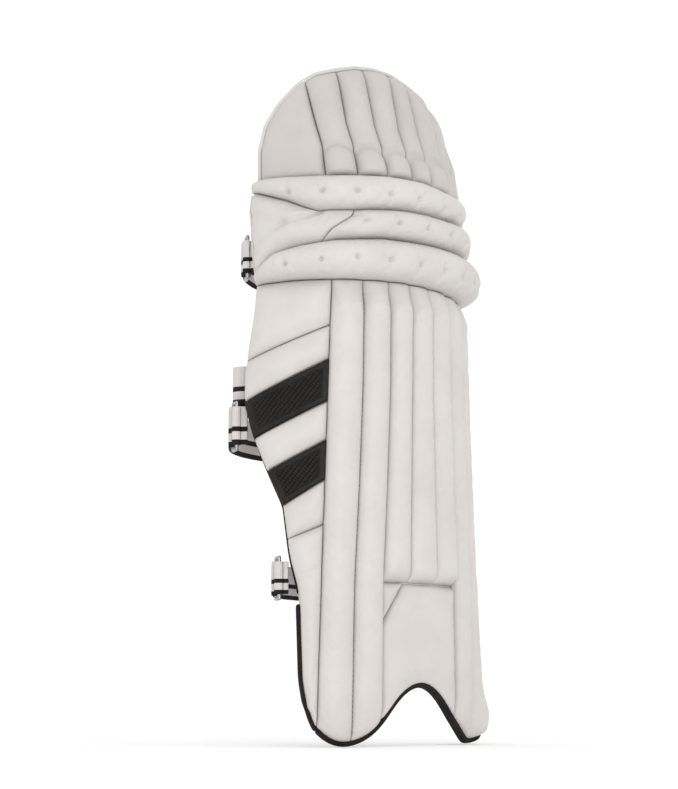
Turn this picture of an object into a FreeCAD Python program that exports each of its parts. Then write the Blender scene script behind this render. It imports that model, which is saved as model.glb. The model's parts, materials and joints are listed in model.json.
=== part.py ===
import FreeCAD, Part
import os
from math import sin, cos, tan, atan2, radians, hypot

# Cricket batting pad for the right leg. Units are mm. +Z runs up the leg, the
# face looks along -Y, the outer-side wing is at -X. The origin is on the leg
# axis, level with the lowest edge of the two instep lobes.

V = FreeCAD.Vector
os.makedirs("parts", exist_ok=True)

# ---- driving dimensions -------------------------------------------------
FACE_Y = -112.0          # front of the shin board on the centre line
R_FOOT, R_KNEE = 190.0, 130.0    # radius of the wrapped face at z = 0 and at the knee
KNEE_Z = 433.0           # where the shin stops and the knee section begins
SHORT_RIB_Z = 151.0      # lower end of the three short middle ribs
GAP = 0.3                # running gap between neighbouring pieces

BOARD_T = (-9.0, -0.7)   # depth of the stiff foam board below the face
LINING_T = (-11.3, -9.3) # depth of the fabric lining
SKIN = 2.0               # thickness of a padded cover
BIND_W = 4.5             # width of the edge binding
BIND_T = (-12.0, 7.0)

BEND = 6.0               # bend of each knee hinge, degrees
HALF_WEDGE = tan(radians(BEND / 2.0))

# knee segments from the bottom: lower z, upper z, face y, roll thickness
KNEE = {
    "knee_lower": (433.0, 470.5, -115.0, 27.0),
    "knee_mid": (470.5, 500.0, -121.0, 24.0),
    "knee_upper": (500.0, 528.5, -121.0, 23.0),
}
KNEE_S = (-162.0, 128.0)     # arc length span of the knee boards
MID_ROLL_START = -80.0       # the middle roll stops here, the side strip takes over
HINGE_Y = {433.0: -100.5, 470.5: -103.5, 500.0: -109.5, 528.5: -108.5}

HAT_Z = (528.5, 646.0)
HAT_SEAMS = (-103.0, -75.0, -47.0, -19.0, 9.0, 36.0, 63.0)
HAT_ARCH = [(-160, 528), (-158, 556), (-132, 602), (-91, 633), (-31, 646),
            (29, 633), (70, 602), (96, 556), (98, 528)]

# seam lines of the shin: arc length from the centre line at four heights
SEAM_Z = (20.0, 150.0, 300.0, 433.0)
SEAMS = [(-106, -101, -92, -88), (-74, -71, -62, -59), (-46, -43, -35, -33),
         (-14, -13, -11, -9), (24, 23, 17, 16), (60, 59, 48, 45),
         (89, 88, 77, 72), (119, 117, 106, 101)]
FLAP_EDGE = [(20, 127), (150, 137), (300, 150), (433, 150)]
WING_EDGE = [(20, -112), (60, -119), (141, -121), (172, -129), (220, -135),
             (253, -150), (285, -163), (320, -172), (428, -170)]

# bottom edge, seen from the front (x, z): outer lobe, instep notch, inner lobe
FOOT_EDGE = [(-115, 80), (-112, 42), (-103, 15), (-84, 0.9), (-62, 4), (-38, 23),
             (-17, 46), (4, 54), (25, 47), (50, 27), (75, 9), (96, 0.9),
             (112, 7), (120, 28), (122, 60)]

# straps: bottom z, top z, loop centre x, y, half width, depth, angle where the ring is
STRAPS = {
    "knee": (443.5, 477.0, -10.0, -48.3, 118.4, 98.7, 150.0),
    "calf": (278.0, 316.0, -10.0, -44.0, 130.0, 108.7, 157.1),
    "ankle": (138.0, 170.0, 0.0, -83.7, 122.5, 98.7, 154.6),
}
WEB = 2.6                # webbing thickness
RING_ROD = 1.8           # rod radius of the strap rings
RING_LEN = 13.0


# ---- the wrapped face ---------------------------------------------------
def table(rows, z):
    rows = list(rows)
    if z <= rows[0][0]:
        return rows[0][1]
    for (z0, a), (z1, b) in zip(rows, rows[1:]):
        if z <= z1:
            return a + (b - a) * (z - z0) / (z1 - z0)
    return rows[-1][1]


def radius(z):
    return R_FOOT + (R_KNEE - R_FOOT) * min(max(z, -20.0), KNEE_Z) / KNEE_Z


def face_y(z):
    """The hat leans back above the knee."""
    return table([(KNEE_Z, FACE_Y), (528.0, -121.0), (560.0, -117.0), (660.0, -82.0)], z)


def pt(s, z, t, r=None, front=None):
    """Point at arc length s, height z, and t outward from the face."""
    r = radius(z) if r is None else r
    front = face_y(z) if front is None else front
    a = s / r
    return V((r + t) * sin(a), front + r - (r + t) * cos(a), z)


def spline(points):
    curve = Part.BSplineCurve()
    curve.interpolate(points)
    return curve.toShape()


def loft(wires, smooth=False):
    return Part.makeLoft(wires, True, not smooth)


def level_wire(s0, s1, z, t0, t1, n=6):
    """Constant-thickness section of the face at one height."""
    ss = [s0 + (s1 - s0) * i / n for i in range(n + 1)]
    outer = [pt(s, z, t1) for s in ss]
    inner = [pt(s, z, t0) for s in reversed(ss)]
    return Part.Wire([spline(outer), Part.makeLine(outer[-1], inner[0]),
                      spline(inner), Part.makeLine(inner[-1], outer[0])])


def mirrored(rows):
    return rows + [(1.0 - u, w) for u, w in reversed(rows[:-1])]


DOME = mirrored([(0.0, 0.0), (0.05, 0.38), (0.16, 0.74), (0.32, 0.95), (0.5, 1.0)])
FULL_DOME = mirrored([(0.0, 0.0), (0.02, 0.36), (0.09, 0.66), (0.24, 0.91), (0.5, 1.0)])


def dome_wire(s0, s1, z, t0, height):
    """Rib section: flat on the face, domed outside."""
    outer = [pt(s0 + (s1 - s0) * u, z, t0 + height * w) for u, w in DOME]
    inner = [pt(s1 + (s0 - s1) * i / 4.0, z, t0) for i in range(5)]
    return Part.Wire([spline(outer), spline(inner)])


def rib(left, right, heights, inset=0.0, lift=GAP, drop=0.0):
    """Rib between two seam functions; heights is a list of (z, height)."""
    wires = [dome_wire(left(z) + 0.4 + inset, right(z) - 0.4 - inset, z, lift, h - drop)
             for z, h in heights]
    return loft(wires)


def seam(k):
    return lambda z: table(zip(SEAM_Z, SEAMS[k]), z)


# the outer seam is the wing's hinge line, so it is straight in space
def seam_point(z):
    a, b = pt(SEAMS[0][0], SEAM_Z[0], 0), pt(SEAMS[0][3], SEAM_Z[3], 0)
    f = (z - SEAM_Z[0]) / (SEAM_Z[3] - SEAM_Z[0])
    return a + (b - a) * f


def outer_seam(z):
    p = seam_point(z)
    r = radius(z)
    return r * atan2(p.x, face_y(z) + r - p.y)


def slab_y(wire_points, depth=400.0):
    """Solid made by pushing a closed (x, z) outline straight through along Y."""
    face = Part.Face(wire_points)
    return face.extrude(V(0, depth, 0))


def offset_points(points, d):
    out = []
    for i, (x, z) in enumerate(points):
        a = points[max(i - 1, 0)]
        b = points[min(i + 1, len(points) - 1)]
        dx, dz = b[0] - a[0], b[1] - a[1]
        n = hypot(dx, dz)
        out.append((x - d * dz / n, z + d * dx / n))
    return out


def curve_xz(points, y):
    return spline([V(x, y, z) for x, z in points])


def closed_above(points, y, ztop, xlim):
    """Outline of everything above an (x, z) curve running left to right."""
    first, last = points[0], points[-1]
    corner = [V(last[0], y, last[1]), V(xlim, y, last[1]), V(xlim, y, ztop),
              V(-xlim, y, ztop), V(-xlim, y, first[1]), V(first[0], y, first[1])]
    edges = [curve_xz(points, y)]
    edges += [Part.makeLine(a, b) for a, b in zip(corner, corner[1:])]
    return Part.Wire(edges)


def band_outline(points, inner_points, y):
    a, b = curve_xz(points, y), curve_xz(inner_points, y)
    end0 = Part.makeLine(V(points[-1][0], y, points[-1][1]),
                         V(inner_points[-1][0], y, inner_points[-1][1]))
    end1 = Part.makeLine(V(inner_points[0][0], y, inner_points[0][1]),
                         V(points[0][0], y, points[0][1]))
    return Part.Wire([a, end0, b.reversed(), end1])


def save(shape, name):
    shape.exportStep("parts/" + name + ".step")


def group(solids):
    return Part.makeCompound(solids)


# ---- shin ---------------------------------------------------------------
BACK = -200.0
foot_in = offset_points(FOOT_EDGE, BIND_W + GAP)
above_foot = slab_y(closed_above(foot_in, BACK, 460.0, 300.0))
core_in = offset_points(FOOT_EDGE, BIND_W + 2.0 * SKIN)
above_core = slab_y(closed_above(core_in, BACK, 460.0, 300.0))
foot_band = slab_y(band_outline(FOOT_EDGE, offset_points(FOOT_EDGE, BIND_W), BACK))
levels = (-6.0, 70.0, 150.0, 240.0, 330.0, 432.4)

def shin_layer(t):
    wires = [level_wire(outer_seam(max(z, 0)) + 0.5, seam(7)(z), z, t[0], t[1]) for z in levels]
    return loft(wires).common(above_foot)


def wedge_top(z_hinge, margin=0.4):
    """Tool that removes the top of a side arm, so that the arm above can tip."""
    y0 = HINGE_Y[z_hinge]
    tool = Part.makeBox(400, 300, 60, V(-200, y0, z_hinge - margin))
    tool.rotate(V(0, y0, z_hinge - margin), V(1, 0, 0), -BEND / 2.0)
    return tool


shin_cut = wedge_top(KNEE_Z)
board = shin_layer(BOARD_T).cut(shin_cut)
lining = shin_layer(LINING_T).cut(shin_cut)
save(board, "shin_board")
save(lining, "shin_lining")

LONG_H = [(-6.0, 9.0), (15.0, 11.0), (60.0, 13.0), (150.0, 13.0), (240.0, 13.0),
          (330.0, 13.0), (408.0, 14.5), (422.0, 9.5), (431.5, 8.0)]
SHORT_H = [(SHORT_RIB_Z, 4.0), (156.0, 9.5), (166.0, 13.0), (240.0, 13.0),
           (330.0, 13.0), (408.0, 14.5), (422.0, 9.5), (431.5, 8.0)]
LONG_CORE = [(20.0, 11.5), (60.0, 13.0), (150.0, 13.0), (240.0, 13.0), (330.0, 13.0), (405.0, 14.2)]
SHORT_CORE = [(162.0, 11.5), (175.0, 13.0), (240.0, 13.0), (330.0, 13.0), (405.0, 14.2)]
CANE_R = 2.5


def rib_set(k, long_rib):
    left = outer_seam if k == 0 else seam(k)
    right = seam(k + 1)
    shape = rib(left, right, LONG_H if long_rib else SHORT_H)
    if long_rib:
        shape = shape.common(above_foot)
    shape = shape.cut(shin_cut)
    core = rib(left, right, LONG_CORE if long_rib else SHORT_CORE,
               inset=2.2, lift=GAP + SKIN, drop=2.0 * SKIN)
    if long_rib:
        core = core.common(above_core)
    mid = lambda z: (left(z) + right(z)) / 2.0
    z0, z1 = (32.0 if long_rib else 172.0), 398.0
    a, b = pt(mid(z0), z0, 6.4), pt(mid(z1), z1, 6.4)
    cane = Part.makeCylinder(CANE_R, (b - a).Length, a, b - a)
    return shape.cut(core), core.cut(cane), cane


sets = [rib_set(k, k not in (2, 3, 4)) for k in range(7)]
for number, k in ((1, 0), (2, 1), (6, 5), (7, 6)):
    save(sets[k][0], "rib_cover_%d" % number)
save(group([sets[k][0] for k in (2, 3, 4)]), "rib_cover_short")
save(group([sets[k][1] for k in (0, 1, 5, 6)]), "rib_foam_long")
save(group([sets[k][1] for k in (2, 3, 4)]), "rib_foam_short")
save(group([item[2] for item in sets]), "rib_canes")

# instep panel between the long ribs, with a small three-cornered inset
INSTEP_H = [(0.0, 5.0), (60.0, 7.0), (110.0, 7.5), (140.0, 6.5), (SHORT_RIB_Z - 0.8, 4.0)]
instep = rib(seam(2), seam(5), INSTEP_H).common(above_foot)
corner = [V(-46, BACK, 151), V(-19, BACK, 151), V(-46, BACK, 107)]
corner_prism = Part.makePolygon(corner + corner[:1])
corner_prism = slab_y(corner_prism)
near = [V(-60, BACK, 160), V(-60, BACK, 106.0), V(-45.6, BACK, 106.0), V(-18.2, BACK, 151.4),
        V(-18.2, BACK, 160)]
corner_room = slab_y(Part.makePolygon(near + near[:1]))
save(instep.cut(corner_room), "instep_panel")
inset = rib(seam(2), lambda z: -8.0, [(100.0, 4.5), (125.0, 5.0), (SHORT_RIB_Z - 0.8, 3.5)])
save(inset.common(corner_prism), "instep_corner")

# black binding round the two lobes and the notch
edge_levels = (-8.0, 20.0, 55.0, 95.0)
edge_slab = loft([level_wire(-126, 140, z, BIND_T[0], BIND_T[1]) for z in edge_levels])
right_of_seam = Part.makeBox(400, 400, 200, V(-98.5, BACK, -20))
binding = edge_slab.common(foot_band).common(right_of_seam)
save(binding, "foot_binding")

# inner-side flap
flap_levels = (26.0, 90.0, 150.0, 240.0, 330.0, 427.0)


def flap_wire(z):
    a, b = seam(7)(z) + 0.6, table(FLAP_EDGE, z)
    ss = [a + (b - a) * i / 5.0 for i in range(6)]
    outer = [pt(s, z, h) for s, h in zip(ss, (1.0, 5.0, 6.5, 6.0, 4.0, -1.0))]
    inner = [pt(s, z, LINING_T[0]) for s in reversed(ss)]
    return Part.Wire([spline(outer), Part.makeLine(outer[-1], inner[0]),
                      spline(inner), Part.makeLine(inner[-1], outer[0])])


flap = loft([flap_wire(z) for z in flap_levels]).common(above_foot)
save(flap, "side_flap")


# padded bolsters on the lining, either side of the shin bone
def bolster(s_mid, z0, z1, width=30.0, depth=12.0):
    wires = []
    for f, w in ((0.0, 0.45), (0.04, 0.8), (0.1, 1.0), (0.5, 1.0), (0.9, 1.0), (0.96, 0.8), (1.0, 0.45)):
        z = z0 + f * (z1 - z0)
        half_w, base = width * w / 2.0, LINING_T[0] - GAP
        ss = [s_mid - half_w + 2 * half_w * u for u, _ in DOME]
        inner = [pt(s, z, base - depth * w * h) for s, (_, h) in zip(ss, DOME)]
        outer = [pt(s, z, base) for s in reversed(ss)]
        wires.append(Part.Wire([spline(inner), spline(outer)]))
    return loft(wires)


save(group([bolster(-58.0, 70.0, 400.0), bolster(66.0, 70.0, 400.0)]), "shin_bolsters")

# ---- wing ---------------------------------------------------------------
wing_levels = (22.0, 60.0, 100.0, 141.0, 172.0, 220.0, 253.0, 285.0, 320.0, 370.0, 427.0)


def wing_layer(t):
    wires = [level_wire(table(WING_EDGE, z), outer_seam(z) - 0.5, z, t[0], t[1], 4) for z in wing_levels]
    return loft(wires)


def wing_pad(height):
    """Soft pad over the wing: thin at the back edge, sloping down to the seam."""
    wires = []
    for z in wing_levels:
        a, b = table(WING_EDGE, z), outer_seam(z) - 1.2
        slope = min(9.0, (b - a) * 0.4)
        ss = [a, a + slope * 0.4, a + slope, (a + b) / 2.0, b - slope, b - slope * 0.4, b]
        hs = [height * 0.45, height * 0.8, height, height * 1.05, height * 0.9, height * 0.5, 0.6]
        outer = [pt(s, z, h) for s, h in zip(ss, hs)]
        inner = [pt(s, z, GAP) for s in reversed(ss)]
        wires.append(Part.Wire([spline(outer), Part.makeLine(outer[-1], inner[0]),
                                spline(inner), Part.makeLine(inner[-1], outer[0])]))
    return loft(wires)


save(wing_layer(BOARD_T), "wing_board")
save(wing_layer(LINING_T), "wing_lining")

# the pad is split by slanting seams: height at the back edge, height at the hinge seam
WING_LINES = [(427.5, 427.5), (356.0, 390.0), (318.0, 358.0), (283.0, 318.0),
              (252.0, 282.0), (220.0, 245.0), (189.0, 203.0), (20.0, 20.0)]
WING_NAMES = ["wing_panel_top", "wing_panel_upper", "wing_mesh_upper", "wing_panel_middle",
              "wing_mesh_lower", "wing_panel_lower", "wing_panel_ankle"]
facing = radians(-50.0)
across = V(cos(facing), sin(facing), 0)
outward = V(sin(facing), -cos(facing), 0)


def line_height(k, w):
    """Height of slanting seam k at distance w across the wing from its hinge seam."""
    back, front = WING_LINES[k]
    s_back = table(WING_EDGE, back)
    p_back, p_front = pt(s_back, back, 3), pt(outer_seam(front), front, 3)
    w0, w1 = p_back.dot(across), p_front.dot(across)
    return back + (front - back) * (w - w0) / (w1 - w0)


def wing_prism(k):
    w_lo, w_hi = -190.0, 60.0
    pts = []
    for w, line, d in ((w_lo, k, -GAP), (w_hi, k, -GAP), (w_hi, k + 1, GAP), (w_lo, k + 1, GAP)):
        z = line_height(line, w) + d
        pts.append(across * w + V(0, 0, z) + outward * (-40.0))
    face = Part.Face(Part.makePolygon(pts + pts[:1]))
    return face.extrude(outward * 260.0)


pad_full, pad_low = wing_pad(8.5), wing_pad(5.5)
for k, name in enumerate(WING_NAMES):
    source = pad_low if "mesh" in name else pad_full
    save(source.common(wing_prism(k)), name)


# binding down the back edge of the wing, below the ankle strap
def wing_edge_wire(z):
    a = table(WING_EDGE, z) - GAP
    return level_wire(a - 3.4, a, z, BIND_T[0], 5.0, 2)


below_strap = Part.makeBox(400, 400, 111.0, V(-300, BACK, 24.0))
save(loft([wing_edge_wire(z) for z in wing_levels[:5]]).common(below_strap), "wing_binding")


# ---- knee ---------------------------------------------------------------
def limits(name, y, inset=0.0):
    """Lower and upper z of a knee segment at depth y: side arms leave room to tip."""
    z0, z1 = KNEE[name][0], KNEE[name][1]
    low = z0 + 0.4 + max(0.0, y - HINGE_Y[z0]) * HALF_WEDGE
    high = z1 - 0.4 - max(0.0, y - HINGE_Y[z1]) * HALF_WEDGE
    return low + inset, high - inset


def knee_slab(name, s0, s1, t0, t1, n=12):
    front = KNEE[name][2]
    wires = []
    for i in range(n + 1):
        s = s0 + (s1 - s0) * i / n
        corners = []
        for t, top in ((t0, False), (t1, False), (t1, True), (t0, True)):
            p = pt(s, 0, t, R_KNEE, front)
            p.z = limits(name, p.y)[1 if top else 0]
            corners.append(p)
        wires.append(Part.makePolygon(corners + corners[:1]))
    return loft(wires, smooth=True)


def knee_roll(name, s0, s1, height, inset=0.0, lift=GAP, ends=(0.45, 0.45), n=14):
    """Padded roll lying across the knee, its ends rounded off."""
    front = KNEE[name][2]
    wires = []
    for i in range(n + 1):
        u = i / float(n)
        s = s0 + (s1 - s0) * u
        left = min(1.0, u / 0.12)
        right = min(1.0, (1.0 - u) / 0.12)
        full = ((ends[0] + (1 - ends[0]) * sin(left * 1.5708))
                * (ends[1] + (1 - ends[1]) * sin(right * 1.5708)))
        y_base = pt(s, 0, lift, R_KNEE, front).y
        low, high = limits(name, y_base, inset)
        outer = []
        for v, w in FULL_DOME:
            p = pt(s, 0, lift + height * full * w, R_KNEE, front)
            p.z = low + (high - low) * v
            outer.append(p)
        wires.append(Part.Wire([spline(outer), Part.makeLine(outer[-1], outer[0])]))
    return loft(wires, smooth=True)


def hollow_roll(name, s0, s1, height, ends=(0.45, 0.45)):
    shell = knee_roll(name, s0, s1, height, 0.0, GAP, ends)
    core = knee_roll(name, s0 + 4.0, s1 - 4.0, height - 2 * SKIN, SKIN, GAP + SKIN, ends)
    return shell.cut(core), core


for name, (z0, z1, front, thick) in KNEE.items():
    save(knee_slab(name, KNEE_S[0], KNEE_S[1], BOARD_T[0], BOARD_T[1]), name + "_board")
    save(knee_slab(name, KNEE_S[0], KNEE_S[1], LINING_T[0], LINING_T[1]), name + "_lining")
    start = MID_ROLL_START if name == "knee_mid" else KNEE_S[0]
    cover, core = hollow_roll(name, start, KNEE_S[1], thick)
    save(cover, name + "_cover")
    save(core, name + "_foam")

strip = knee_roll("knee_mid", KNEE_S[0], MID_ROLL_START - 0.8, 11.0, 0.0, GAP, (0.5, 0.9))
save(strip, "knee_side_strip")


# soft cup behind the knee cap
def knee_cup():
    front, name = KNEE["knee_mid"][2], "knee_mid"
    wires = []
    for i in range(11):
        u = i / 10.0
        s = -62.0 + 100.0 * u
        full = 0.35 + 0.65 * sin(min(1.0, min(u, 1 - u) / 0.2) * 1.5708)
        base = LINING_T[0] - GAP
        pts = []
        for v, w in DOME:
            p = pt(s, 0, base - 9.0 * full * w, R_KNEE, front)
            p.z = 474.5 + 21.0 * v
            pts.append(p)
        wires.append(Part.Wire([spline(pts), Part.makeLine(pts[-1], pts[0])]))
    return loft(wires, smooth=True)


save(knee_cup(), "knee_cup")

# ---- top hat ------------------------------------------------------------
hat_levels = (529.0, 545.0, 565.0, 590.0, 615.0, 640.0, 652.0)


def x_of(s, z):
    return pt(s, z, 0).x


arch = [(x_of(s, z), z) for s, z in HAT_ARCH]
arch_in = offset_points(arch, -(BIND_W + GAP))
arch_band_in = offset_points(arch, -BIND_W)


def arch_region(points):
    y = BACK
    bottom = [V(points[-1][0], y, points[-1][1]), V(points[-1][0], y, 520.0),
              V(points[0][0], y, 520.0), V(points[0][0], y, points[0][1])]
    edges = [curve_xz(points, y)] + [Part.makeLine(a, b) for a, b in zip(bottom, bottom[1:])]
    return slab_y(Part.Wire(edges))


def hat_cut(margin=0.4):
    """Tool below the hat: side arms rise so that the hat can tip back."""
    z_h = HAT_Z[0]
    y0 = HINGE_Y[z_h]
    tool = Part.makeBox(400, 300, 60, V(-200, y0, z_h + margin - 60))
    tool.rotate(V(0, y0, z_h + margin), V(1, 0, 0), BEND / 2.0)
    flat = Part.makeBox(400, 300, 60, V(-200, -220, z_h + margin - 60))
    return tool.fuse(flat)


inside_arch = arch_region(arch_in)
below_hat = hat_cut()


def hat_layer(t, s0=-162.0, s1=102.0):
    return loft([level_wire(s0, s1, z, t[0], t[1]) for z in hat_levels])


save(hat_layer(BOARD_T).common(inside_arch).cut(below_hat), "hat_board")
save(hat_layer(LINING_T).common(inside_arch).cut(below_hat), "hat_lining")
trim = hat_layer((LINING_T[0] - 0.5, 5.0), -175.0, 115.0)
piping = trim.common(slab_y(band_outline(arch, arch_band_in, BACK))).cut(below_hat)
save(piping, "hat_piping")

ROLL_H = [(528.9, 7.0), (538.0, 14.0), (551.0, 10.0), (565.0, 13.0), (600.0, 12.5),
          (630.0, 10.0), (652.0, 7.0)]
ROLL_CORE = [(534.0, 12.0), (540.0, 13.5), (551.0, 10.0), (565.0, 13.0), (600.0, 12.5), (611.0, 12.0)]


def hat_roll(k):
    left, right = (lambda z, i=k: HAT_SEAMS[i]), (lambda z, i=k + 1: HAT_SEAMS[i])
    outer = rib(left, right, ROLL_H).common(inside_arch).cut(below_hat)
    core = rib(left, right, ROLL_CORE, inset=2.2, lift=GAP + SKIN, drop=2 * SKIN)
    room = arch_region(offset_points(arch, -(BIND_W + 6.0)))
    core = core.common(room)
    return outer.cut(core), core


rolls = [hat_roll(k) for k in range(6)]
save(group([r[0] for r in rolls]), "hat_roll_covers")
save(group([r[1] for r in rolls]), "hat_roll_foam")


def hat_side(s0, s1):
    h = [(528.9, 6.0), (560.0, 7.0), (600.0, 6.5), (652.0, 5.0)]
    return rib(lambda z: s0, lambda z: s1, h).common(inside_arch).cut(below_hat)


save(hat_side(-170.0, HAT_SEAMS[0]), "hat_side_outer")
save(hat_side(HAT_SEAMS[6], 110.0), "hat_side_inner")


# ---- straps -------------------------------------------------------------
def arc_strip(cx, cy, a, b, from_deg, to_deg, z0, z1, thick):
    """Band of webbing bent to an ellipse, thick measured outward from (a, b)."""
    count = max(4, int(abs(to_deg - from_deg) / 12.0))
    angles = [radians(from_deg + (to_deg - from_deg) * i / count) for i in range(count + 1)]
    inner = [V(cx + a * cos(q), cy + b * sin(q), z0) for q in angles]
    outer = [V(cx + (a + thick) * cos(q), cy + (b + thick) * sin(q), z0) for q in reversed(angles)]
    wire = Part.Wire([spline(inner), Part.makeLine(inner[-1], outer[0]),
                      spline(outer), Part.makeLine(outer[-1], inner[0])])
    return Part.Face(wire).extrude(V(0, 0, z1 - z0))


def ring(p1, p2, z0, z1):
    """Rectangular rod ring: inner bar at p1, outer bar at p2."""
    lo, hi = z0 - RING_ROD - 1.0, z1 + RING_ROD + 1.0
    bars = []
    corners = [V(p1.x, p1.y, lo), V(p2.x, p2.y, lo), V(p2.x, p2.y, hi), V(p1.x, p1.y, hi)]
    shape = None
    for a, b in zip(corners, corners[1:] + corners[:1]):
        bar = Part.makeCylinder(RING_ROD, (b - a).Length, a, b - a)
        ball = Part.makeSphere(RING_ROD, a)
        shape = bar.fuse(ball) if shape is None else shape.fuse([bar, ball])
    return shape.removeSplitter()


def eye(p, z0, z1):
    """Webbing turned round a ring bar."""
    hole = RING_ROD + 0.35
    return (Part.makeCylinder(hole + WEB, z1 - z0, V(p.x, p.y, z0))
            .cut(Part.makeCylinder(hole, z1 - z0, V(p.x, p.y, z0))))


def flat_strip(a, b, z0, z1, thick):
    """Straight piece of webbing from a to b."""
    d = b - a
    n = V(-d.y, d.x, 0)
    n.normalize()
    n = n * (thick / 2.0)
    pts = [V(q.x, q.y, z0) for q in (a + n, b + n, b - n, a - n)]
    return Part.Face(Part.makePolygon(pts + pts[:1])).extrude(V(0, 0, z1 - z0))


def strap_parts(name):
    z0, z1, cx, cy, a, b, start = STRAPS[name]
    q = radians(start)
    p2 = V(cx + (a + WEB / 2) * cos(q), cy + (b + WEB / 2) * sin(q), z0)
    along = V(a * sin(q), -b * cos(q), 0)
    along.normalize()
    p1 = p2 - along * RING_LEN
    room = Part.makeCylinder(RING_ROD + 0.35, z1 - z0, V(p2.x, p2.y, z0))
    band = arc_strip(cx, cy, a, b, start - 2.5, 63.0, z0, z1, WEB)
    band = band.fuse(eye(p2, z0, z1)).cut(room).removeSplitter()
    tab = arc_strip(cx, cy, a, b, 61.6, 36.0, z0 + 2, z1 - 2, WEB)
    return band, tab, ring(p1, p2, z0, z1), p1, p2


# where each ring's sewn tab starts on the pad, and where each tongue starts
ANCHOR = {
    "knee": (pt(KNEE_S[0] - 4.5, 0, -5.5, R_KNEE, KNEE["knee_lower"][2]), -3.0),
    "calf": (pt(table(WING_EDGE, 297.0) - 5.4, 297.0, -5.5), 5.0),
    "ankle": (pt(table(WING_EDGE, 155.0) - 6.2, 155.0, -5.5), 21.0),
}
anchors = {}
for name in STRAPS:
    z0, z1, cx, cy, a, b, start = STRAPS[name]
    band, tab, loop, p1, p2 = strap_parts(name)
    save(band, "strap_" + name)
    save(tab, "hook_tab_" + name)
    save(loop, "ring_" + name)
    root, tongue_from = ANCHOR[name]
    root = V(root.x, root.y, z0)
    away = p1 - root
    away.normalize()
    strip = flat_strip(root, p1 - away * (RING_ROD + 0.8), z0 + 1, z1 - 1, WEB)
    room = Part.makeCylinder(RING_ROD + 0.35, 60, V(p1.x, p1.y, z0 - 5))
    anchors[name] = strip.fuse(eye(V(p1.x, p1.y, z0), z0 + 1, z1 - 1)).cut(room).removeSplitter()
    tongue = arc_strip(cx, cy, a - 5.0, b - 5.0, 78.0, tongue_from, z0 - 2, z1 + 2, 4.4)
    save(tongue, "tongue_" + name)
save(anchors["knee"], "ring_tab_knee")
save(group([anchors["calf"], anchors["ankle"]]), "ring_tabs_wing")
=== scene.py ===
import bpy
import json
import math
import numpy as np
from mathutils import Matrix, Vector, noise


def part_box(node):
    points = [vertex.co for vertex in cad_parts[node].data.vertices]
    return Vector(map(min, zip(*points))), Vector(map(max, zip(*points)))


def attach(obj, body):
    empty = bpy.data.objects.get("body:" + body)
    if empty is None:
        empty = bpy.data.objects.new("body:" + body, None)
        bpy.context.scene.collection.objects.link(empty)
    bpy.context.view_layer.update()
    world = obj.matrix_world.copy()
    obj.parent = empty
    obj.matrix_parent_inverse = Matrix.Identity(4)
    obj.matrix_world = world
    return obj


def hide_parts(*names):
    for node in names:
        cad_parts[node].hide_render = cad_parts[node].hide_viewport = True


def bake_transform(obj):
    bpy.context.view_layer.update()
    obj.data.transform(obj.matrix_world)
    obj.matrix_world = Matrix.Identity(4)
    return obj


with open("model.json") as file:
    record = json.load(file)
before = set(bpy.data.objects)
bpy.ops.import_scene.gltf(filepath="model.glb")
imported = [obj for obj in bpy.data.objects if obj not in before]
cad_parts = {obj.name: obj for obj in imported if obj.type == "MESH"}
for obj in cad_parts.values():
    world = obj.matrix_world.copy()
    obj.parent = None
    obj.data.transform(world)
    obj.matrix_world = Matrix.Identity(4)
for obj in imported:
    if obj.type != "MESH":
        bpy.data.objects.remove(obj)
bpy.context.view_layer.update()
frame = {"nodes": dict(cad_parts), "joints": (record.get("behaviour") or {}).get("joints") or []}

# Cricket leg pad. Lengths in this file are millimetres; meshes are written in metres.
MM = 0.001


def joint_z(name):
    return next(j["pos_m"][2] for j in frame["joints"] if j["name"] == name) / MM


def low(node):
    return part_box(node)[0] / MM


def high(node):
    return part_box(node)[1] / MM


def smooth(x, a, b):
    q = np.clip((np.asarray(x, float) - a) / (b - a), 0, 1)
    return q * q * (3 - 2 * q)


# ---- the wrapped face, the same surface as the CAD boards ----------------
# The hat closes in a little more tightly than that on its inner side.
KNEE_Z = joint_z("knee_lower_bend")
ROLL_Z = [KNEE_Z, joint_z("knee_mid_bend"), joint_z("knee_upper_bend"), joint_z("hat_bend")]
R_FOOT, R_KNEE = 190.0, 130.0
FACE = ([0, KNEE_Z - 3, 452, 485, ROLL_Z[3], 560, 660], [-112, -112, -115, -121, -121, -117, -82])


def radius(z):
    return R_FOOT + (R_KNEE - R_FOOT) * np.clip(z, -20, KNEE_Z) / KNEE_Z


def face_y(z):
    return np.interp(z, *FACE)


def pos(s, z, t):
    """Arc length s from the centre line, height z, t outward from the face -> x, y, z."""
    s, z, t = np.broadcast_arrays(np.asarray(s, float), np.asarray(z, float), np.asarray(t, float))
    r = radius(z) * (1 - 0.15 * smooth(z, 505, 560) * smooth(s, -30, 60))
    a = s / r
    return np.stack([(r + t) * np.sin(a), face_y(z) + r - (r + t) * np.cos(a), z], -1)


def arc_of(x, y, z):
    r = radius(z)
    return r * np.arctan2(x, face_y(z) + r - y)


APART = 12.0                     # solids of one node lie further apart than this


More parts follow.
